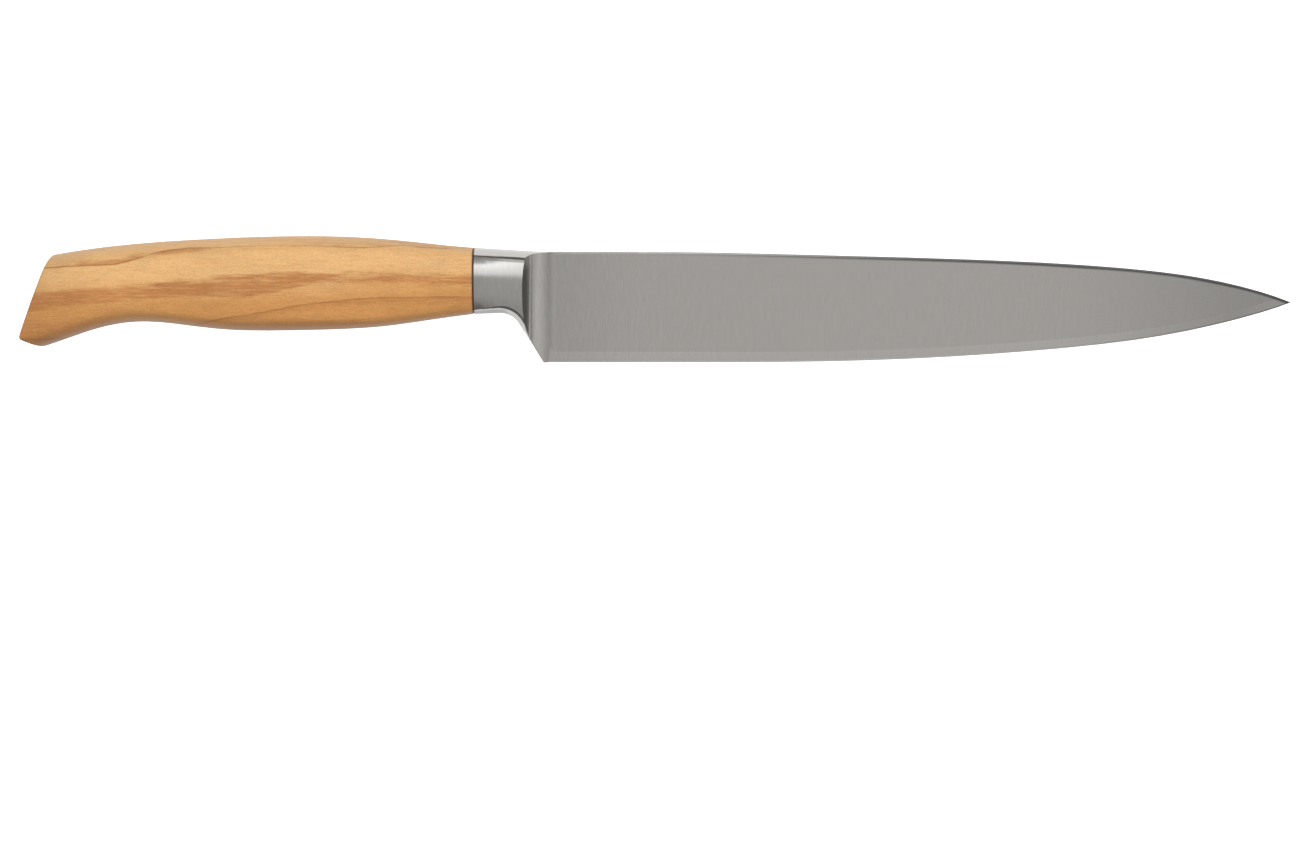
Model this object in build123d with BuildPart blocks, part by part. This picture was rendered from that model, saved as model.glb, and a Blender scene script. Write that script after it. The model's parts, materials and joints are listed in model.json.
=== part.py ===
from build123d import *

import math
import os

# Forged carving knife with a hidden tang and a one-piece wooden handle.
# All sizes are in millimetres and all angles in degrees.
# The knife is drawn in its own axes and laid down on its side at the end.
# X runs from the butt to the tip, and X = 0 is the bolster's rear face.
# Y runs from the cutting edge to the spine, and Y = 0 is the middle of the joint.
# Z runs across the knife, and Z = 0 is its middle plane.

# Blade, seen from the side
blade_length = 200.0  # bolster's front edge to the tip
blade_height = 28.9  # spine to cutting edge at the heel
spine_level = 7.58  # spine above the joint's middle
tip_drop = 13.2  # spine down to the tip
spine_straight = 30.0  # straight run of the spine, from the bolster's front edge
edge_straight = 48.0  # straight run of the cutting edge, from the heel corner
heel_setback = 5.2  # heel corner ahead of the bolster's front edge
heel_angle = 58.0  # heel line from the horizontal
spine_tip_angle = 23.5  # how steeply the spine falls at the tip
edge_tip_angle = 22.0  # how steeply the edge rises there

# Points that the curves pass through, as shares of their run and of their fall or rise
spine_curve_shares = ((0.277, 0.065), (0.553, 0.174), (0.768, 0.353), (0.890, 0.584))
edge_curve_shares = ((0.342, 0.066), (0.555, 0.201), (0.768, 0.438), (0.891, 0.685))

# Blade, seen from above
spine_thickness = 2.5  # where the plunge ends
shoulder_thickness = 0.9  # at the top of the edge bevel, by the heel
tip_thickness = 1.2
spine_softening = 0.3

# Edge bevel, and the fine cutting bevel below it
bevel_width = 2.9  # at the heel
bevel_tip_width = 2.3
bevel_foot_thickness = 0.26
cutting_bevel_width = 0.45
cutting_edge_thickness = 0.04
bevel_station_count = 24
section_point_count = 32

# Bolster
bolster_length = 12.5  # rear face to the crisp front edge
bolster_height = 17.25
bolster_thickness = 15.8
bolster_front_thickness = 14.6
bolster_taper = 3.5  # fall of the top and rise of the underside
crown_rise = 1.42  # bulge of the top and of the underside
cheek_rise = 2.1  # bulge of the two sides
corner_softening = 1.5
underside_radius = 5.5  # underside into the heel line
plunge_radius = 9.0  # bolster's front into the blade's flats
front_cheek_drop = 2.0  # thickest line below the joint's middle at the front
front_foot_drop = 5.2  # lowest point of the front cheeks below the heel line or the joint
front_foot_share = 0.967  # how far a cheek has come in at its lowest, of half the thickness
heel_foot_share = 0.843

# Tang
tang_length = 88.0
tang_height = 12.0
tang_end_height = 7.5
tang_thickness = 3.6
tang_notch_radius = 1.3
tang_notch_pitch = 22.0
tang_end_radius = 1.5

# Adhesive
joint_gap = 0.45  # layer between the bolster and the wood
joint_recess = 0.12  # layer's edge below the outer surface
tang_clearance = 0.9  # round the tang
tang_end_clearance = 3.0
bore_radius = 1.6

# Handle
handle_length = 117.8  # joint to the rearmost corner of the butt
butt_length = 22.0  # rear part of it, where the belly runs out into the beak
grip_top = 11.6  # highest line above the joint's middle
grip_bottom = 12.95  # lowest line of the swell below it
grip_thickness = 20.0
grip_crown_rise = 2.6
grip_cheek_rise = 1.3
grip_corner_radius = 4.5
grip_land_depth = 0.12  # flat land on each cheek, where the knife lies on its side

# Handle stations: place, top, bottom, thickness, bulges and corner radius, as shares
grip_station_shares = (
    # along the grip, top, bottom, thickness, bulge, corner
    (0.113, 0.826, 0.775, 0.845, 0.20, 0.30),
    (0.244, 0.934, 0.910, 0.900, 0.50, 0.60),
    (0.375, 0.994, 0.974, 0.955, 0.80, 0.85),
    (0.524, 0.997, 0.998, 1.000, 1.00, 1.00),
    (0.671, 0.958, 0.981, 0.990, 1.00, 1.00),
    (0.786, 0.909, 0.890, 0.965, 0.90, 0.95),
    (0.902, 0.841, 0.819, 0.945, 0.80, 0.90),
)
butt_station_shares = (
    # along the butt, top, bottom, thickness, bulge, corner
    (0.029, 0.752, 0.919, 0.940, 0.75, 1.05),
    (0.424, 0.647, 1.129, 0.950, 0.75, 1.25),
    (0.733, 0.545, 1.310, 0.960, 0.75, 1.40),
    (1.160, 0.390, 1.500, 0.970, 0.75, 1.45),
)

# Butt
butt_rear_level = -14.4  # rearmost corner
butt_slope = 69.3  # end face from the horizontal
butt_foot_slope = 26.0  # lower facet from the horizontal
butt_crest_slope = 42.0  # facet at the top corner from the horizontal
butt_crest_level = 6.3  # where that facet leaves the end face
butt_softening = 1.0
joint_softening = 0.25

overrun = 2.0  # how far a cutter reaches past what it cuts
surface_tolerance = 0.01  # how closely points follow a surface to find its lowest one

# Places worked out from the sizes above
tip_x = bolster_length + blade_length
tip_y = spine_level - tip_drop
edge_level = spine_level - blade_height
heel_x = bolster_length + heel_setback
joint_half_height = bolster_height / 2
joint_half_thickness = bolster_thickness / 2
taper_fall = math.tan(math.radians(bolster_taper))


def arc_drop(radius, reach):
    """How far an arc has fallen at a distance from its crest."""
    return radius - math.sqrt(radius**2 - reach**2)


def arc_radius(rise, reach):
    """Radius of an arc that falls by rise at a distance from its crest."""
    return (reach**2 + rise**2) / (2 * rise)


def barrel(height, thickness, crown, cheek, softening):
    """Rounded section whose four sides bulge."""
    corner_y = height / 2 - crown
    corner_z = thickness / 2 - cheek
    with BuildSketch() as section:
        with BuildLine():
            ThreePointArc((corner_y, -corner_z), (height / 2, 0), (corner_y, corner_z))
            ThreePointArc((corner_y, corner_z), (0, thickness / 2), (-corner_y, corner_z))
            ThreePointArc((-corner_y, corner_z), (-height / 2, 0), (-corner_y, -corner_z))
            ThreePointArc((-corner_y, -corner_z), (0, -thickness / 2), (corner_y, -corner_z))
        make_face()
        fillet(section.vertices(), softening)
    return section.sketch


def smooth_barrel(height, thickness, crown, cheek, softening):
    """The same section as one smooth closed curve."""
    outline = barrel(height, thickness, crown, cheek, softening).wire()
    points = [outline @ (step / section_point_count) for step in range(section_point_count)]
    with BuildSketch() as section:
        with BuildLine():
            Spline(*points, periodic=True)
        make_face()
    return section.sketch


# Cutter for one side's flat grind, whose rounded rear edge leaves the plunge
plunge_depth = (bolster_front_thickness - spine_thickness) / 2
plunge_end = bolster_length + math.sqrt(plunge_radius**2 - (plunge_radius - plunge_depth) ** 2)
flat_spine = Vector(plunge_end, spine_level, spine_thickness / 2)
flat_shoulder = Vector(plunge_end, edge_level + bevel_width, shoulder_thickness / 2)
flat_tip = Vector(tip_x, tip_y, tip_thickness / 2)
flat_normal = (flat_tip - flat_spine).cross(flat_spine - flat_shoulder).normalized()
if flat_normal.Z < 0:
    flat_normal = -flat_normal
flat_forward = Vector(0, 1, 0).cross(flat_normal)
upper_flat = Plane(flat_spine, x_dir=flat_forward, z_dir=flat_normal)
lower_flat = Plane(
    (flat_spine.X, flat_spine.Y, -flat_spine.Z),
    z_dir=(flat_normal.X, flat_normal.Y, -flat_normal.Z),
)


def flat_half_thickness(place):
    """Half the thickness between the flats at a place on the side view."""
    offset = place - flat_spine
    fall = (offset.X * flat_normal.X + offset.Y * flat_normal.Y) / flat_normal.Z
    return flat_spine.Z - fall


with BuildPart() as grinder:
    with BuildSketch(upper_flat):
        with Locations((-plunge_radius, 0)):
            Rectangle(
                plunge_radius + tip_x, 3 * blade_height, align=(Align.MIN, Align.CENTER)
            )
    extrude(amount=bolster_thickness)
    rear_face = grinder.faces().sort_by(Axis.X)[0]
    fillet(rear_face.edges().sort_by(Axis.Z)[0], plunge_radius)

# Side outlines
spine_start = bolster_length + spine_straight
spine_run = tip_x - spine_start
edge_start = heel_x + edge_straight
edge_run = tip_x - edge_start
edge_rise = tip_y - edge_level
tip_fall = math.radians(spine_tip_angle)
tip_climb = math.radians(edge_tip_angle)

spine_points = [(spine_start, spine_level)]
for along_share, fall_share in spine_curve_shares:
    level = spine_level - fall_share * tip_drop
    spine_points.append((spine_start + along_share * spine_run, level))
spine_points.append((tip_x, tip_y))

edge_points = [(edge_start, edge_level)]
for along_share, rise_share in edge_curve_shares:
    level = edge_level + rise_share * edge_rise
    edge_points.append((edge_start + along_share * edge_run, level))
edge_points.append((tip_x, tip_y))

with BuildLine() as edge_line:
    Line((heel_x, edge_level), edge_points[0])
    Spline(*edge_points, tangents=((1, 0), (math.cos(tip_climb), math.sin(tip_climb))))

# The plate runs back inside the bolster, which covers its slanted rear end
with BuildPart() as plate:
    with BuildSketch(Plane.XY):
        with BuildLine():
            Line((bolster_length, spine_level), spine_points[0])
            Spline(*spine_points, tangents=((1, 0), (math.cos(tip_fall), -math.sin(tip_fall))))
            add(edge_line.line)
            Line((heel_x, edge_level), (bolster_length, spine_level))
        make_face()
    extrude(amount=spine_thickness, both=True)
    split(bisect_by=upper_flat, keep=Keep.BOTTOM)
    split(bisect_by=lower_flat, keep=Keep.BOTTOM)
    spine_edges = plate.edges().filter_by(
        lambda edge: edge.center().Y > 0 and edge.length > spine_thickness
    )
    fillet(spine_edges, spine_softening)

# Bolster block between its bulging cheeks, before its top and underside are crowned
underside_corner_y = -joint_half_height + taper_fall * bolster_length / 2
underside_corner_x = heel_x - (underside_corner_y - edge_level) / math.tan(math.radians(heel_angle))
joint_corner_y = joint_half_height - crown_rise
joint_corner_z = joint_half_thickness - cheek_rise
joint_cheek_radius = arc_radius(cheek_rise, joint_corner_y)
front_half_thickness = bolster_front_thickness / 2
crown_radius = arc_radius(crown_rise, joint_corner_z)
block_top = joint_half_height + overrun / 2
block_end = plunge_end + overrun
front_level = -front_cheek_drop
heel_line_level = edge_level + heel_setback * math.tan(math.radians(heel_angle))
front_foot = min(heel_line_level, -joint_half_height - front_foot_drop) - front_foot_drop
front_radius = arc_radius(front_foot_share * front_half_thickness, front_level - front_foot)
heel_level = -3 * front_cheek_drop
heel_foot = edge_level - 3 * overrun
heel_radius = arc_radius(heel_foot_share * front_half_thickness, heel_level - heel_foot)
cheek_stations = (
    # place, thickest level, lowest level, thickness, radius
    (-overrun, 0, -block_top, bolster_thickness, joint_cheek_radius),
    (0, 0, -block_top, bolster_thickness, joint_cheek_radius),
    (bolster_length, front_level, front_foot, bolster_front_thickness, front_radius),
    (block_end, heel_level, heel_foot, bolster_front_thickness, heel_radius),
)

with BuildLine() as underside_line:
    underside = FilletPolyline(
        (-overrun, -joint_half_height - overrun * taper_fall),
        (underside_corner_x, underside_corner_y),
        (heel_x + overrun / math.tan(math.radians(heel_angle)), edge_level - overrun),
        radius=underside_radius,
    )


def crown_profile():
    """Region outside the crown of the top or of the underside."""
    reach = joint_half_thickness + overrun
    fall = arc_drop(crown_radius, reach)
    with BuildSketch() as profile:
        with BuildLine():
            ThreePointArc((-reach, -fall), (0, 0), (reach, -fall))
            Polyline((reach, -fall), (reach, 2 * overrun), (-reach, 2 * overrun), (-reach, -fall))
        make_face()
    return profile.sketch


with BuildPart() as block:
    for place, level, lowest, thickness, radius in cheek_stations:
        above = block_top - level
        below = level - lowest
        top_z = thickness / 2 - arc_drop(radius, above)
        low_z = thickness / 2 - arc_drop(radius, below)
        with BuildSketch(Plane.YZ.offset(place)):
            with BuildLine():
                Line((block_top, -top_z), (block_top, top_z))
                ThreePointArc((block_top, top_z), (level, thickness / 2), (lowest, low_z))
                Line((lowest, low_z), (lowest, -low_z))
                ThreePointArc((lowest, -low_z), (level, -thickness / 2), (block_top, -top_z))
            make_face()
    loft()
    with BuildSketch(Plane.XY):
        with BuildLine():
            Polyline(
                (0, block_top),
                (block_end, block_top),
                (block_end, edge_level),
                (heel_x - overrun / 2, edge_level),
                (underside_corner_x - overrun / 2, -block_top),
                (0, -block_top),
                close=True,
            )
        make_face()
    extrude(amount=bolster_thickness, both=True, mode=Mode.INTERSECT)
    # Crown of the top, along its taper
    with BuildSketch(
        Plane(
            (-overrun, joint_half_height + overrun * taper_fall),
            x_dir=(0, 0, -1),
            z_dir=(1, -taper_fall, 0),
        )
    ):
        add(crown_profile())
    extrude(amount=block_end + 2 * overrun, mode=Mode.SUBTRACT)
    # Crown of the underside, down to the heel corner
    with BuildSketch(Plane(underside @ 0, x_dir=(0, 0, 1), z_dir=underside % 0)):
        add(crown_profile())
    sweep(path=underside, mode=Mode.SUBTRACT)
    corner_edges = block.edges().filter_by(GeomType.BSPLINE)
    corner_edges = corner_edges.filter_by_position(Axis.X, overrun, plunge_end)
    fillet(corner_edges, corner_softening)
    add(grinder.part, mode=Mode.SUBTRACT)
    mirror(grinder.part, about=Plane.XY, mode=Mode.SUBTRACT)

# The bevels follow the cutting edge and run out past both its ends
with BuildLine() as bevel_path:
    Line((heel_x - 2 * overrun, edge_level), (heel_x, edge_level))
    add(edge_line.line)
    Line(edge_line.line @ 1, edge_line.line @ 1 + edge_line.line % 1 * overrun)


def edge_cutter(depth_share, foot):
    """Solid above a bevel that takes a share of the main bevel's width."""
    with BuildPart() as cutter:
        for station in range(bevel_station_count + 1):
            share = station / bevel_station_count
            forward = bevel_path.line % share
            inward = Vector(-forward.Y, forward.X)
            start = bevel_path.line @ share
            full_width = bevel_width + share * (bevel_tip_width - bevel_width)
            full_rise = flat_half_thickness(start + inward * full_width) - bevel_foot_thickness / 2
            width = depth_share * full_width
            rise = bevel_foot_thickness / 2 + depth_share * full_rise - foot / 2
            with BuildSketch(Plane(start, x_dir=inward, z_dir=forward)):
                with BuildLine():
                    Polyline(
                        (-width / 2, foot / 2 - rise / 2),
                        (3 * width / 2, foot / 2 + 3 * rise / 2),
                        (-width / 2, foot / 2 + 3 * rise / 2),
                        close=True,
                    )
                make_face()
        loft()
    return cutter.part


bevel_cutter = edge_cutter(1, bevel_foot_thickness)
fine_cutter = edge_cutter(cutting_bevel_width / bevel_width, cutting_edge_thickness)

# Blade, bolster and tang: one forging
tang_half_fall = (tang_height - tang_end_height) / 2
with BuildPart() as blade:
    add(block.part)
    add(plate.part)
    for cutter in (bevel_cutter, fine_cutter):
        add(cutter, mode=Mode.SUBTRACT)
        mirror(cutter, about=Plane.XY, mode=Mode.SUBTRACT)
    with BuildSketch(Plane.XY) as tang_side:
        with BuildLine():
            Polyline(
                (overrun, tang_height / 2),
                (0, tang_height / 2),
                (-tang_length, tang_end_height / 2),
                (-tang_length, -tang_end_height / 2),
                (0, -tang_height / 2),
                (overrun, -tang_height / 2),
                close=True,
            )
        make_face()
        end_corners = tang_side.vertices().group_by(Axis.X)[0]
        fillet(end_corners, tang_end_radius)
        for notch, side in enumerate((1, -1, 1)):
            along = (notch + 1) * tang_notch_pitch
            edge_y = tang_height / 2 - tang_half_fall * along / tang_length
            with Locations((-along, side * edge_y)):
                Circle(tang_notch_radius, mode=Mode.SUBTRACT)
    extrude(amount=tang_thickness / 2, both=True)

# Bore and the adhesive that fills it round the tang
bore_height = tang_height + 2 * tang_clearance
bore_width = tang_thickness + 2 * tang_clearance
bore_depth = tang_length + tang_end_clearance
with BuildPart() as bore:
    with BuildSketch(Plane.YZ.offset(-joint_gap)):
        RectangleRounded(bore_height, bore_width, bore_radius)
    extrude(amount=-bore_depth)

with BuildPart() as tang_adhesive:
    add(bore.part)
    with BuildSketch(Plane.YZ):
        add(
            barrel(
                bolster_height - 2 * joint_recess,
                bolster_thickness - 2 * joint_recess,
                crown_rise,
                cheek_rise,
                corner_softening,
            )
        )
    extrude(amount=-joint_gap)
    add(blade.part, mode=Mode.SUBTRACT)

# Handle
end_slope = math.radians(butt_slope)
crest_x = -handle_length + (butt_crest_level - butt_rear_level) / math.tan(end_slope)
butt_facets = (
    (-handle_length, butt_rear_level, end_slope),
    (-handle_length, butt_rear_level, math.pi - math.radians(butt_foot_slope)),
    (crest_x, butt_crest_level, math.radians(butt_crest_slope)),
)
grip_run = handle_length - butt_length
stations = [(along * grip_run, *shares) for along, *shares in grip_station_shares]
for along, *shares in butt_station_shares:
    stations.append((grip_run + along * butt_length, *shares))
with BuildPart() as handle:
    with BuildSketch(Plane.YZ.offset(-joint_gap)):
        add(
            smooth_barrel(
                bolster_height, bolster_thickness, crown_rise, cheek_rise, corner_softening
            )
        )
    for place, top, bottom, thickness, bulge, corner in stations:
        top_level = top * grip_top
        bottom_level = -bottom * grip_bottom
        with BuildSketch(Plane.YZ.offset(-place)):
            with Locations(((top_level + bottom_level) / 2, 0)):
                add(
                    smooth_barrel(
                        top_level - bottom_level,
                        thickness * grip_thickness,
                        crown_rise + bulge * (grip_crown_rise - crown_rise),
                        cheek_rise + bulge * (grip_cheek_rise - cheek_rise),
                        corner_softening + corner * (grip_corner_radius - corner_softening),
                    )
                )
    loft()
    for corner_x, corner_y, slope in butt_facets:
        outward = (-math.sin(slope), math.cos(slope), 0)
        split(bisect_by=Plane((corner_x, corner_y), z_dir=outward), keep=Keep.BOTTOM)
    # The rear corner, where the end face meets the lower facet, stays crisp
    butt_faces = handle.faces().filter_by(GeomType.PLANE).sort_by(Axis.X)[:-1]
    butt_edges = butt_faces.edges().sort_by(Axis.X)
    fillet(butt_edges[1:], butt_softening)
    front_face = handle.faces().sort_by(Axis.X)[-1]
    chamfer(front_face.edges(), joint_softening)
    add(bore.part, mode=Mode.SUBTRACT)

# Laid down on its side, the knife touches the table with the tip and the grip's cheek.
# The pitch is worked out in a few passes, because the touching points move with it.
surface_points = {}
for name, part in (("blade", blade.part), ("handle", handle.part)):
    surface_points[name] = part.tessellate(surface_tolerance)[0]


def lowest_level(name, pitch):
    """Level of a piece's lowest point once the tip is lowered by a pitch."""
    rise = math.cos(pitch)
    run = math.sin(pitch)
    return min(rise * point.Z - run * point.X for point in surface_points[name])


reach_between = tip_x + handle_length / 2
pitch = (grip_thickness - tip_thickness) / 2 / reach_between
for correction in range(6):
    above_tip = lowest_level("handle", pitch) + grip_land_depth - lowest_level("blade", pitch)
    pitch -= above_tip / reach_between
table_level = lowest_level("blade", pitch)

# A flat land on each cheek, in the plane of the table
with BuildPart() as landed_handle:
    add(handle.part)
    for side in (-1, 1):
        land_point = (0, 0, -side * table_level / math.cos(pitch))
        land_outward = (math.sin(pitch), 0, side * math.cos(pitch))
        split(bisect_by=Plane(land_point, z_dir=land_outward), keep=Keep.BOTTOM)

# The origin is under the middle of the whole knife's box
os.makedirs("parts", exist_ok=True)
blade.part.label = "blade"
tang_adhesive.part.label = "tang_adhesive"
landed_handle.part.label = "handle"
pieces = (blade.part, tang_adhesive.part, landed_handle.part)
lying = Rotation(0, math.degrees(pitch), 0)
box = Compound([piece.moved(lying) for piece in pieces]).bounding_box()
to_table = Location((-box.center().X, -box.center().Y, -table_level)) * lying
for piece in pieces:
    piece.move(to_table)
    export_step(piece, f"parts/{piece.label}.step")
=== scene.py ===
import bpy
import json
from math import asin, cos, degrees, pi, radians, sin
from mathutils import Matrix, Vector

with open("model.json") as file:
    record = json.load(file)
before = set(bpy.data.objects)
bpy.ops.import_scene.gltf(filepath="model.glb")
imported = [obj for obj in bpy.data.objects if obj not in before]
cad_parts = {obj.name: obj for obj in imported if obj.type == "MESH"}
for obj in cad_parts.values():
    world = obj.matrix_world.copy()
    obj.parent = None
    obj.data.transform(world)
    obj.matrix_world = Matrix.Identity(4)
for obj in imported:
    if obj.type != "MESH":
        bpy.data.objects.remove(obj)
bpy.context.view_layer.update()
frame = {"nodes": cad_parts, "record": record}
nodes = frame["nodes"]
mounts = {mount["name"]: mount for mount in frame["record"]["mounts"]}
mm = 0.001


# The knife's own axes: x to the tip, y to the spine, z across, from the middle of the joint

heel = (17.7, -6.87, 0.0)    # where the slot mount sits, in mm
slot = mounts["block_slot"]
pitch = asin(-slot["axis"][2])
lying = Matrix.Rotation(pitch, 3, "Y")
joint = Vector(slot["pos_m"]) - lying @ (Vector(heel) * mm)
print("knife axes: pitch %.3f degrees, joint at" % degrees(pitch), tuple(joint))


# Camera, floor and studio light

view = {
    "roll": radians(7.5),               # the knife as the camera sees it
    "pitch": radians(0.2),
    "aim": (46.0, -39.87, 0.0),         # middle of the picture, along the camera's own axes, in mm
    "distance": 848.2,                  # from the joint, in mm
    "lens": 90.0,
    "sensor": 36.0,
    "nearest": 0.01,                    # in metres
}

studio = {
    "floorSize": 6.0,
    "floorDrop": 0.0001,                # just below what lies on it
    "floorColour": (0.86, 0.86, 0.855),
    "floorGlow": 0.3,                   # the pale floor is lit from below too,
    "cameraGlow": 0.7,                  # so that no shadow shows on it
    "floorRoughness": 0.9,
    "floorSheen": 0.1,
    "ambient": 0.81,
    "keyAlong": 0.05,                   # towards the tip
    "keyElevation": radians(60),        # on the spine's side
    "keyDistance": 1.2,
    "keySize": (2.2, 0.75),
    "keyWatts": 8.1,
}

# What the steel mirrors, from the floor on the spine's side over the top to the other side:
# degrees, then brightness and warmth
surround = (
    (0, 0.20, 0.10),
    (24, 0.20, 0.10),
    (33, 0.30, 0.04),
    (41, 0.25, 0.0),
    (46, 0.42, 0.0),
    (49, 0.95, 0.0),
    (53, 1.96, 0.0),
    (60, 1.82, 0.0),
    (65, 1.55, 0.0),
    (70, 1.44, 0.0),
    (74, 1.30, 0.0),
    (77, 0.85, 0.0),
    (80, 0.57, 0.01),
    (101, 0.57, 0.02),
    (110, 0.60, 0.01),
    (125, 0.58, 0.02),
    (136, 0.50, 0.02),
    (147, 0.24, 0.06),
    (160, 0.16, 0.06),
    (180, 0.30, 0.04),
)

# The same along the knife: share towards the tip, then brightness
surroundAlong = (
    (0.0, 0.80),
    (0.46, 0.80),
    (0.50, 0.90),
    (0.53, 1.0),
    (0.56, 1.05),
    (0.585, 1.02),
    (0.62, 0.84),
    (0.67, 0.68),
    (0.78, 0.85),
    (0.90, 1.2),
    (1.0, 1.2),
)


def buildCamera():
    seen = Matrix.Rotation(view["pitch"], 3, "Y") @ Matrix.Rotation(view["roll"], 3, "X")
    turn = lying @ seen.inverted()
    data = bpy.data.cameras.new("camera")
    data.lens = view["lens"]
    data.sensor_width = view["sensor"]
    data.clip_start = view["nearest"]
    camera = bpy.data.objects.new("camera", data)
    bpy.context.scene.collection.objects.link(camera)
    place = Vector((view["aim"][0], view["aim"][1], view["distance"])) * mm
    camera.matrix_world = Matrix.Translation(joint + turn @ place) @ turn.to_4x4()
    bpy.context.scene.camera = camera


def buildFloor():
    bpy.ops.object.select_all(action="DESELECT")
    place = (0, 0, -studio["floorDrop"])
    bpy.ops.mesh.primitive_plane_add(size=studio["floorSize"], location=place)
    floor = bpy.context.object
    floor.name = "floor"
    paint = bpy.data.materials.new("floorPaper")
    paint.use_nodes = True
    tree = paint.node_tree
    shader = tree.nodes["Principled BSDF"]
    rays = tree.nodes.new("ShaderNodeLightPath")
    colour = tree.nodes.new("ShaderNodeMix")
    colour.data_type = "RGBA"
    colour.inputs["A"].default_value = (*studio["floorColour"], 1)
    colour.inputs["B"].default_value = (0, 0, 0, 1)
    tree.links.new(rays.outputs["Is Diffuse Ray"], colour.inputs["Factor"])
    tree.links.new(colour.outputs["Result"], shader.inputs["Base Color"])
    shader.inputs["Emission Color"].default_value = (*studio["floorColour"], 1)
    glow = tree.nodes.new("ShaderNodeMath")
    glow.operation = "MULTIPLY_ADD"
    glow.inputs[1].default_value = studio["cameraGlow"]
    glow.inputs[2].default_value = studio["floorGlow"]
    tree.links.new(rays.outputs["Is Camera Ray"], glow.inputs[0])
    tree.links.new(glow.outputs[0], shader.inputs["Emission Strength"])
    shader.inputs["Roughness"].default_value = studio["floorRoughness"]
    shader.inputs["Specular IOR Level"].default_value = studio["floorSheen"]
    floor.data.materials.append(paint)


def buildKey():
    elevation = studio["keyElevation"]
    distance = studio["keyDistance"]
    data = bpy.data.lights.new("key", "AREA")
    data.shape = "RECTANGLE"
    data.size, data.size_y = studio["keySize"]
    data.energy = studio["keyWatts"]
    light = bpy.data.objects.new("key", data)
    bpy.context.scene.collection.objects.link(light)
    target = Vector((studio["keyAlong"], 0, 0))
    ray = Vector((0, cos(elevation), sin(elevation))) * distance
    light.location = target + ray
    light.rotation_euler = (-ray).to_track_quat("-Z", "Y").to_euler()
    light.visible_glossy = False


def fillRamp(ramp, stops):
    elements = ramp.elements
    elements.remove(elements[1])
    for index, (position, colour) in enumerate(stops):
        element = elements[0] if index == 0 else elements.new(position)
        element.position = position
        element.color = (*colour, 1)


# Mirrored rays see the surround, all others an even light
def buildWorld():
    world = bpy.data.worlds.new("studio")
    bpy.context.scene.world = world
    world.use_nodes = True
    world.cycles.sampling_method = "NONE"
    tree = world.node_tree
    coords = tree.nodes.new("ShaderNodeTexCoord")
    split = tree.nodes.new("ShaderNodeSeparateXYZ")
    tree.links.new(coords.outputs["Generated"], split.inputs[0])

    turn = tree.nodes.new("ShaderNodeMath")
    turn.operation = "ARCTAN2"
    tree.links.new(split.outputs["Z"], turn.inputs[0])
    tree.links.new(split.outputs["Y"], turn.inputs[1])
    around = tree.nodes.new("ShaderNodeMath")
    around.operation = "DIVIDE"
    around.inputs[1].default_value = pi
    tree.links.new(turn.outputs[0], around.inputs[0])
    over = tree.nodes.new("ShaderNodeValToRGB")
    fillRamp(over.color_ramp, [
        (radians(angle) / pi, (grey * (1 + warmth), grey, grey * (1 - 1.5 * warmth)))
        for angle, grey, warmth in surround
    ])
    tree.links.new(around.outputs[0], over.inputs["Fac"])

    share = tree.nodes.new("ShaderNodeMapRange")
    share.inputs["From Min"].default_value = -1
    tree.links.new(split.outputs["X"], share.inputs["Value"])
    along = tree.nodes.new("ShaderNodeValToRGB")
    fillRamp(along.color_ramp, [(place, (grey,) * 3) for place, grey in surroundAlong])
    tree.links.new(share.outputs[0], along.inputs["Fac"])

    both = tree.nodes.new("ShaderNodeVectorMath")
    both.operation = "MULTIPLY"
    tree.links.new(over.outputs["Color"], both.inputs[0])
    tree.links.new(along.outputs["Color"], both.inputs[1])
    rays = tree.nodes.new("ShaderNodeLightPath")
    choice = tree.nodes.new("ShaderNodeMix")
    choice.data_type = "RGBA"
    choice.inputs["A"].default_value = (*(studio["ambient"],) * 3, 1)
    tree.links.new(rays.outputs["Is Glossy Ray"], choice.inputs["Factor"])
    tree.links.new(both.outputs[0], choice.inputs["B"])
    tree.links.new(choice.outputs["Result"], tree.nodes["Background"].inputs["Color"])


buildCamera()
buildFloor()
buildKey()
buildWorld()
bpy.context.scene.view_settings.view_transform = "Standard"
print("camera and studio placed")


# Shader helpers

def link(tree, source, target):
    tree.links.new(source, target)


def addNode(tree, kind, **values):
    node = tree.nodes.new(kind)
    for name, value in values.items():
        setattr(node, name, value)
    return node


def mathNode(tree, operation, first, second=0.0, clamp=False):
    node = addNode(tree, "ShaderNodeMath", operation=operation, use_clamp=clamp)
    for socket, value in zip(node.inputs, (first, second)):
        if isinstance(value, (int, float)):
            socket.default_value = value
        else:
            link(tree, value, socket)
    return node.outputs[0]


def stepNode(tree, value, start, end, low=0.0, high=1.0):
    node = addNode(tree, "ShaderNodeMapRange", interpolation_type="SMOOTHSTEP")
    node.inputs["From Min"].default_value = start
    node.inputs["From Max"].default_value = end
    node.inputs["To Min"].default_value = low
    node.inputs["To Max"].default_value = high
    link(tree, value, node.inputs["Value"])
    return node.outputs[0]


# Height of a curve at a place along it; spread is more than any of its heights
def courseNode(tree, along, points, spread):
    first, last = points[0][0], points[-1][0]
    share = addNode(tree, "ShaderNodeMapRange")
    share.inputs["From Min"].default_value = first
    share.inputs["From Max"].default_value = last
    link(tree, along, share.inputs["Value"])
    course = addNode(tree, "ShaderNodeFloatCurve")
    curve = course.mapping.curves[0]
    placed = [((x - first) / (last - first), 0.5 + y / spread / 2) for x, y in points]
    curve.points[0].location = placed[0]
    curve.points[1].location = placed[-1]
    for point in placed[1:-1]:
        curve.points.new(*point)
    course.mapping.update()
    link(tree, share.outputs[0], course.inputs["Value"])
    height = mathNode(tree, "SUBTRACT", course.outputs[0], 0.5)
    return mathNode(tree, "MULTIPLY", height, 2 * spread)


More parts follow.
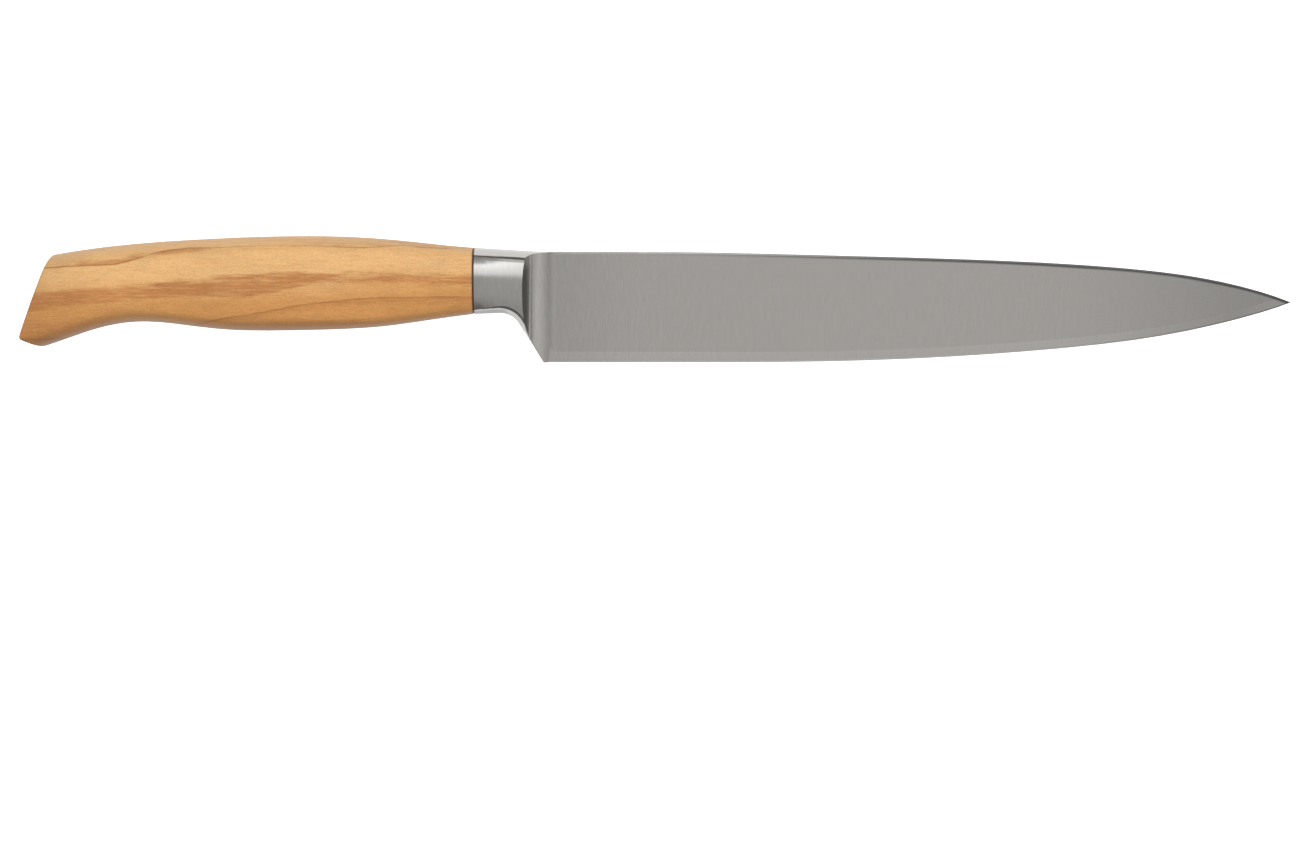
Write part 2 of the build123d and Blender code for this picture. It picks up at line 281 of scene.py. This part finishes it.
def blend(tree, factor, first, second):
    node = addNode(tree, "ShaderNodeMix", data_type="RGBA")
    link(tree, factor, node.inputs["Factor"])
    for socket, value in ((node.inputs["A"], first), (node.inputs["B"], second)):
        if isinstance(value, bpy.types.NodeSocket):
            link(tree, value, socket)
        else:
            socket.default_value = (*value, 1)
    return node.outputs["Result"]


def newGroup(name, takes, gives):
    group = bpy.data.node_groups.new(name, "ShaderNodeTree")
    for socketName, kind, value in takes:
        socket = group.interface.new_socket(name=socketName, in_out="INPUT", socket_type=kind)
        if value is not None:
            socket.default_value = value
    for socketName, kind in gives:
        group.interface.new_socket(name=socketName, in_out="OUTPUT", socket_type=kind)
    return group, group.nodes.new("NodeGroupInput"), group.nodes.new("NodeGroupOutput")


def placeGroup(tree, group, **values):
    node = tree.nodes.new("ShaderNodeGroup")
    node.node_tree = group
    for name, value in values.items():
        socket = node.inputs[name]
        if isinstance(value, bpy.types.NodeSocket):
            link(tree, value, socket)
        else:
            socket.default_value = value
    return node


def newMaterial(name, roughness, metallic=0.0):
    material = bpy.data.materials.new(name)
    material.use_nodes = True
    shader = material.node_tree.nodes["Principled BSDF"]
    shader.inputs["Roughness"].default_value = roughness
    shader.inputs["Metallic"].default_value = metallic
    return material, material.node_tree, shader


def dress(node, material):
    node.data.materials.clear()
    node.data.materials.append(material)


# Object coordinates turned into the knife's own axes, in millimetres
def knifeAxesGroup():
    group, takes, gives = newGroup("knifeAxes", [], [("Place", "NodeSocketVector")])
    coords = addNode(group, "ShaderNodeTexCoord")
    mapping = addNode(group, "ShaderNodeMapping", vector_type="TEXTURE")
    mapping.inputs["Location"].default_value = joint
    mapping.inputs["Rotation"].default_value = lying.to_euler("XYZ")
    mapping.inputs["Scale"].default_value = (mm, mm, mm)
    link(group, coords.outputs["Object"], mapping.inputs["Vector"])
    link(group, mapping.outputs["Vector"], gives.inputs["Place"])
    return group


# Noise drawn out along chosen axes: 0.5 on average
def streaksGroup():
    takesSockets = [
        ("Place", "NodeSocketVector", None),
        ("Stretch", "NodeSocketVector", (1, 1, 1)),
        ("Detail", "NodeSocketFloat", 2.0),
    ]
    group, takes, gives = newGroup("streaks", takesSockets, [("Value", "NodeSocketFloat")])
    scaled = addNode(group, "ShaderNodeVectorMath", operation="MULTIPLY")
    noise = addNode(group, "ShaderNodeTexNoise")
    noise.inputs["Scale"].default_value = 1.0
    noise.inputs["Roughness"].default_value = 0.6
    link(group, takes.outputs["Place"], scaled.inputs[0])
    link(group, takes.outputs["Stretch"], scaled.inputs[1])
    link(group, scaled.outputs[0], noise.inputs["Vector"])
    link(group, takes.outputs["Detail"], noise.inputs["Detail"])
    link(group, noise.outputs["Fac"], gives.inputs["Value"])
    return group


# The knife's own axes at a shaded point: the place, then its three coordinates
def knifePlace(tree):
    place = placeGroup(tree, knifeAxes).outputs["Place"]
    split = addNode(tree, "ShaderNodeSeparateXYZ")
    link(tree, place, split.inputs[0])
    return (place, *split.outputs)


# Which way a shaded point faces: towards the tip, the spine and up
def facingNodes(tree):
    coords = addNode(tree, "ShaderNodeTexCoord")
    split = addNode(tree, "ShaderNodeSeparateXYZ")
    link(tree, coords.outputs["Normal"], split.inputs[0])
    return split.outputs


# A tone brought towards another where the masks are 1
def toned(tree, tone, target, *masks):
    change = mathNode(tree, "SUBTRACT", 1.0, target)
    for mask in masks:
        change = mathNode(tree, "MULTIPLY", change, mask)
    return mathNode(tree, "MULTIPLY", tone, mathNode(tree, "SUBTRACT", 1.0, change))


# A shader's colour: a base, fixed or from a socket, times a tone
def shade(tree, shader, base, tone):
    colour = addNode(tree, "ShaderNodeVectorMath", operation="SCALE")
    if isinstance(base, bpy.types.NodeSocket):
        link(tree, base, colour.inputs[0])
    else:
        colour.inputs[0].default_value = base
    link(tree, tone, colour.inputs["Scale"])
    link(tree, colour.outputs[0], shader.inputs["Base Color"])


knifeAxes = knifeAxesGroup()
streaks = streaksGroup()


# Steel: ground flats with fine lines across the blade, and a brushed bolster, with painted shade
# and highlights.
# Tones scale the colour, and pairs are where a change starts and ends: places in mm,
# facings from -1 to 1.

steel = {
    "colour": (0.61, 0.597, 0.58),
    "flatRoughness": 0.24,
    "bolsterRoughness": 0.17,
    "bolsterTone": 0.80,
    "bolsterFrom": (2.2, 3.4),          # distance from the middle plane

    "lineStretch": (4.0, 0.3, 1.0),     # grinding lines: changes per mm along, up and through
    "lineDetail": 4.0,
    "lineTone": 0.14,
    "lineHeelTone": 0.28,
    "lineRun": (35.0, 75.0),

    "bevelTone": 1.10,                  # painted highlight: the edge bevel is lighter,
    "bevelFacing": (-0.10, -0.06),
    "cuttingTone": 1.32,                # and the cutting bevel lighter still
    "cuttingFacing": (-0.24, -0.16),

    "spineShadeTone": 0.28,                  # painted shade: a dark strip below the spine, from the middle on
    "spineStrip": (0.5, 1.1),
    "spineRun": (35.0, 125.0),
    "spineSpread": 10.0,

    "heelShadeTone": 0.90,                   # painted shade: the flats darker at both ends of the blade
    "heelRun": (17.0, 45.0),
    "tipShadeTone": 0.80,
    "tipRun": (150.0, 212.0),

    # painted shade on the faces turned down
    "undersideShadeTone": 0.5,
    "undersideFacing": (-0.97, -0.82),

    "shoulderShadeTone": 0.5,                # a painted dark reflection along the bolster's upper shoulder
    "shoulderLevel": 6.35,
    "shoulderTaper": 0.06,
    "shoulderHalfWidth": (0.2, 0.65),
    "shoulderRun": (2.0, 6.0),
    "shoulderFacing": (0.15, 0.35),

    "plungeTone": 0.30,                 # where the bolster's steep front mirrors the blade,
    "plungeTopTone": 0.75,              # and near the spine, where it mirrors the sky
    "plungeLevel": (2.5, 6.0),
    "plungeFacing": (0.66, 0.88),
}

# Course of the spine towards the tip: distance from the joint, then height, in mm
spineCourse = (
    (0, 7.6), (42.5, 7.58), (65.4, 7.25), (89.4, 6.72), (113.4, 6.1),
    (136.4, 5.28), (155.4, 4.25), (173.4, 2.92), (193.4, -0.13), (212.5, -5.6),
)


def steelMaterial():
    material, tree, shader = newMaterial("satinSteel", steel["flatRoughness"], 1.0)
    place, along, height, through = knifePlace(tree)
    forward, up, _ = facingNodes(tree)
    bolster = stepNode(tree, mathNode(tree, "ABSOLUTE", through), *steel["bolsterFrom"])
    thin = mathNode(tree, "SUBTRACT", 1.0, bolster)

    # Grinding lines, strongest near the heel
    lines = placeGroup(
        tree, streaks, Place=place, Stretch=steel["lineStretch"], Detail=steel["lineDetail"]
    )
    lines = mathNode(tree, "SUBTRACT", lines.outputs[0], 0.5)
    strength = stepNode(tree, along, *steel["lineRun"], steel["lineHeelTone"], steel["lineTone"])
    tone = mathNode(tree, "ADD", mathNode(tree, "MULTIPLY", lines, strength), 1.0)

    # The painted lighter bevels are told by the way that they face, the painted dark strip below
    # the spine by its course
    for part in ("bevel", "cutting"):
        mask = stepNode(tree, up, *steel[part + "Facing"], 1.0, 0.0)
        tone = toned(tree, tone, steel[part + "Tone"], mask, thin)
    spineLevel = courseNode(tree, along, spineCourse, steel["spineSpread"])
    below = mathNode(tree, "SUBTRACT", spineLevel, height)
    shadeStrip = stepNode(tree, below, *steel["spineStrip"], 1.0, 0.0)
    run = stepNode(tree, along, *steel["spineRun"])
    tone = toned(tree, tone, steel["spineShadeTone"], shadeStrip, thin, run)

    heelEnd = stepNode(tree, along, *steel["heelRun"], steel["heelShadeTone"], 1.0)
    tipEnd = stepNode(tree, along, *steel["tipRun"], 1.0, steel["tipShadeTone"])
    endShade = mathNode(tree, "MULTIPLY", heelEnd, tipEnd)
    tone = mathNode(tree, "MULTIPLY", tone, mathNode(tree, "MAXIMUM", endShade, bolster))

    # Bolster: painted shade on its underside, a painted dark reflection along its upper shoulder
    # and on its steep front
    under = stepNode(tree, up, *steel["undersideFacing"], 1.0, 0.0)
    tone = toned(tree, tone, steel["undersideShadeTone"], under)
    tone = toned(tree, tone, steel["bolsterTone"], bolster)
    crest = mathNode(tree, "MULTIPLY", along, steel["shoulderTaper"])
    crest = mathNode(tree, "SUBTRACT", steel["shoulderLevel"], crest)
    fromCrest = mathNode(tree, "ABSOLUTE", mathNode(tree, "SUBTRACT", height, crest))
    tone = toned(
        tree, tone, steel["shoulderShadeTone"], bolster,
        stepNode(tree, fromCrest, *steel["shoulderHalfWidth"], 1.0, 0.0),
        stepNode(tree, along, *steel["shoulderRun"]),
        stepNode(tree, forward, *steel["shoulderFacing"], 1.0, 0.0),
    )
    plungeTone = stepNode(
        tree, height, *steel["plungeLevel"], steel["plungeTone"], steel["plungeTopTone"]
    )
    tone = toned(tree, tone, plungeTone, stepNode(tree, forward, *steel["plungeFacing"]))
    shade(tree, shader, steel["colour"], tone)

    roughness = addNode(tree, "ShaderNodeMapRange")
    roughness.inputs["To Min"].default_value = steel["flatRoughness"]
    roughness.inputs["To Max"].default_value = steel["bolsterRoughness"]
    link(tree, bolster, roughness.inputs["Value"])
    link(tree, roughness.outputs[0], shader.inputs["Roughness"])
    return material


dress(nodes["blade"], steelMaterial())
print("blade dressed")


# Wood: honey-coloured hardwood with darker figure that follows the grain, and painted shade below
# the middle and on the faces turned down.
# Pairs are where a change starts and ends, as for the steel.

wood = {
    "base": (0.70, 0.41, 0.17),
    "lower": (0.575, 0.27, 0.08),       # painted shade: the wood darker below the middle
    "dark": (0.46, 0.19, 0.057),
    "line": (0.25, 0.10, 0.03),
    "roughness": 0.42,
    "sheen": 0.35,
    "cheek": 9.0,                       # how far the cheek is from the middle plane
    "slant": 0.12,                      # how the figure moves with depth below it
    "spread": 16.0,                     # how far up and down the courses below go, in mm

    "bandEdge": (-0.7, 0.7),            # the broad band of darker wood in the middle
    "bandFade": (0.3, 0.6),
    "bandFaint": 0.45,

    "patchFade": (0.42, 0.62),          # smears above the top line,
    "patchTone": 0.6,
    "smearHeight": (0.0, 2.2),
    "smearFoot": (-0.5, 0.1),
    "smearStart": (-106.0, -100.0),
    "smearEnd": (-88.0, -82.0),
    "underDepth": (-2.0, 0.0),          # and below it
    "underEdge": (0.0, 0.4),
    "underStart": (-86.0, -80.0),
    "underEnd": (-72.0, -66.0),
    "smearFade": (0.3, 0.55),
    "smearFaint": 0.45,
    "smearTone": 0.9,

    "veinDepth": (-2.6, 0.1),           # shade below the low vein
    "veinEdge": (0.0, 0.5),
    "veinShade": 0.65,

    "lineFade": (0.4, 0.6),             # the fine dark lines
    "lineFaint": 0.5,
    "topLineHalfWidth": (0.06, 0.26),
    "topLineTone": 0.7,
    "topLineRun": (-85.0, -60.0),
    "topLineFarTone": 0.65,
    "veinHalfWidth": (0.05, 0.30),
    "veinTone": 0.45,

    # the belly: darker near the lower edge, partly figure and partly painted shade
    "bellyLevel": (-11.5, -8.0),
    "bellyTone": 0.6,
    "streakShift": -0.032,
    "lowerLevel": (-7.0, 3.0),
    "lowerRun": (-60.0, -15.0),         # where the painted shade below the middle reaches higher
    "lowerReach": -3.0,
    "poreFade": (0.62, 0.74),
    "poreTone": 0.72,
    # painted shade on the faces turned down
    "undersideFacing": (-0.85, -0.25),
    "undersideShadeTone": 0.75,
    "buttRun": (-118.0, -92.0),
    "buttTone": 0.86,
}

# Noises in the wood: changes per mm along, up and through it, detail, strength
grain = {
    "wobble": ((0.05, 0.2, 0.2), 3.0, 1.0),
    "ripple": ((0.3, 0.5, 0.5), 2.0, 0.25),
    "patches": ((0.06, 0.25, 0.25), 2.0, 1.0),
    "bandEdge": ((0.15, 1.5, 1.5), 3.0, 2.0),
    "bandFade": ((0.1, 0.9, 0.9), 3.0, 1.0),
    "smearFade": ((0.15, 1.2, 1.2), 4.0, 1.0),
    "lineFade": ((0.08, 0.05, 0.05), 3.0, 1.0),
    "belly": ((0.04, 0.3, 0.3), 2.0, 3.0),
    "streaks": ((0.12, 1.6, 1.6), 6.0, 1.6),
    "lower": ((0.05, 0.3, 0.3), 3.0, 6.0),
    "fibres": ((0.3, 3.0, 3.0), 6.0, 0.4),
    "clouds": ((0.06, 0.15, 0.15), 2.0, 0.3),
    "shortFibres": ((2.0, 5.0, 5.0), 4.0, 0.8),
    "pores": ((0.5, 6.0, 6.0), 2.0, 1.0),
}

# Course of the figure along the handle: distance from the joint, then height, in mm
topLine = (
    (-116, 3.9), (-100, 4.7), (-93, 5.0), (-87, 6.3), (-81, 8.2), (-75, 9.0),
    (-60, 9.5), (-42, 9.9), (-26, 9.4), (-21, 10.0), (-8, 9.5), (0, 9.6),
)
middleBand = (
    (-116, -4.9), (-88, -2.4), (-72, -1.2), (-60, -0.7), (-50, 0.3), (-42, 1.3),
    (-30, 1.5), (-15, 1.2), (0, 0.8),
)
bandHalfWidth = (
    (-116, 2.3), (-88, 1.9), (-72, 2.1), (-62, 2.8), (-50, 2.5), (-40, 1.4),
    (-20, 1.1), (0, 1.2),
)
lowVein = (
    (-116, -14.5), (-80, -11.8), (-64, -9.0), (-53, -7.3), (-45, -5.8), (-36, -4.6),
    (-26, -3.8), (0, -3.6),
)


def woodMaterial():
    material, tree, shader = newMaterial("oiledWood", wood["roughness"])
    shader.inputs["Specular IOR Level"].default_value = wood["sheen"]
    place, along, height, through = knifePlace(tree)

    def plus(first, second):
        return mathNode(tree, "ADD", first, second)

    def minus(first, second):
        return mathNode(tree, "SUBTRACT", first, second)

    def times(first, *others):
        for other in others:
            first = mathNode(tree, "MULTIPLY", first, other)
        return first

    def size(value):
        return mathNode(tree, "ABSOLUTE", value)

    # How far a mask has risen or fallen at a value
    def rising(value, pair, low=0.0, high=1.0):
        return stepNode(tree, value, *wood[pair], low, high)

    def falling(value, pair, high=1.0, low=0.0):
        return stepNode(tree, value, *wood[pair], high, low)

    def course(points):
        return courseNode(tree, along, points, wood["spread"])

    # A noise from 0 to 1, and one about 0 with its strength
    def share(name):
        stretch, detail, strength = grain[name]
        return placeGroup(tree, streaks, Place=place, Stretch=stretch, Detail=detail).outputs[0]

    def noise(name):
        return times(minus(share(name), 0.5), grain[name][2])

    # The grain's level: height, with its wobble and its slant through the wood
    depth = minus(size(through), wood["cheek"])
    level = plus(plus(height, plus(noise("wobble"), noise("ripple"))), times(depth, -wood["slant"]))
    aboveTop = minus(level, course(topLine))
    aboveVein = minus(level, course(lowVein))
    pastBand = minus(size(minus(level, course(middleBand))), course(bandHalfWidth))

    # Masks: the band, the smears beside the top line, the shade of the vein, and the belly, darker
    # along the lower edge, partly figure and partly painted shade
    band = times(
        falling(plus(pastBand, noise("bandEdge")), "bandEdge"),
        rising(share("bandFade"), "bandFade", wood["bandFaint"], 1.0),
    )
    stretch = times(rising(along, "smearStart"), falling(along, "smearEnd"))
    patches = times(rising(share("patches"), "patchFade"), wood["patchTone"])
    above = times(
        falling(aboveTop, "smearHeight"), rising(aboveTop, "smearFoot"),
        mathNode(tree, "MAXIMUM", stretch, patches),
    )
    under = times(
        rising(aboveTop, "underDepth"), falling(aboveTop, "underEdge"),
        rising(along, "underStart"), falling(along, "underEnd"),
    )
    smear = times(
        mathNode(tree, "MAXIMUM", above, under),
        rising(share("smearFade"), "smearFade", wood["smearFaint"], wood["smearTone"]),
    )
    vein = times(rising(aboveVein, "veinDepth"), falling(aboveVein, "veinEdge"), wood["veinShade"])
    belly = falling(plus(height, noise("belly")), "bellyLevel", wood["bellyTone"])
    dark = band
    for mask in (smear, vein, belly):
        dark = mathNode(tree, "MAXIMUM", dark, mask)
    streaked = plus(noise("streaks"), wood["streakShift"])
    dark = mathNode(tree, "ADD", dark, streaked, clamp=True)

    # The fine lines
    faint = rising(share("lineFade"), "lineFade", wood["lineFaint"], 1.0)
    topCore = times(
        falling(size(aboveTop), "topLineHalfWidth", wood["topLineTone"]), faint,
        falling(along, "topLineRun", 1.0, wood["topLineFarTone"]),
    )
    veinCore = times(falling(size(aboveVein), "veinHalfWidth", wood["veinTone"]), faint)

    # Painted shade: the wood darker and deeper in colour below the middle
    raised = plus(height, falling(along, "lowerRun", 0.0, wood["lowerReach"]))
    lower = falling(plus(raised, noise("lower")), "lowerLevel")
    colour = blend(tree, lower, wood["base"], wood["lower"])
    colour = blend(tree, dark, colour, wood["dark"])
    colour = blend(tree, mathNode(tree, "MAXIMUM", topCore, veinCore), colour, wood["line"])

    # Fibres, pores and slow changes of tone, and painted shade on the faces turned down
    tone = plus(plus(noise("fibres"), noise("clouds")), noise("shortFibres"))
    up = facingNodes(tree)[1]
    tone = times(
        plus(tone, 1.0),
        falling(share("pores"), "poreFade", 1.0, wood["poreTone"]),
        rising(up, "undersideFacing", wood["undersideShadeTone"], 1.0),
        rising(along, "buttRun", wood["buttTone"], 1.0),
    )
    shade(tree, shader, colour, tone)
    return material


dress(nodes["handle"], woodMaterial())
print("handle dressed")


# Cured adhesive: the thin dark layer of the joint

adhesive = {
    "colour": (0.055, 0.032, 0.02),
    "roughness": 0.6,
    "mottleStretch": (1.5, 1.5, 1.5),
    "mottleDetail": 3.0,
}


def adhesiveMaterial():
    material, tree, shader = newMaterial("darkAdhesive", adhesive["roughness"])
    mottle = placeGroup(
        tree, streaks, Place=knifePlace(tree)[0],
        Stretch=adhesive["mottleStretch"], Detail=adhesive["mottleDetail"],
    )
    shade(tree, shader, adhesive["colour"], mathNode(tree, "ADD", mottle.outputs[0], 0.5))
    return material


dress(nodes["tang_adhesive"], adhesiveMaterial())
print("adhesive dressed")
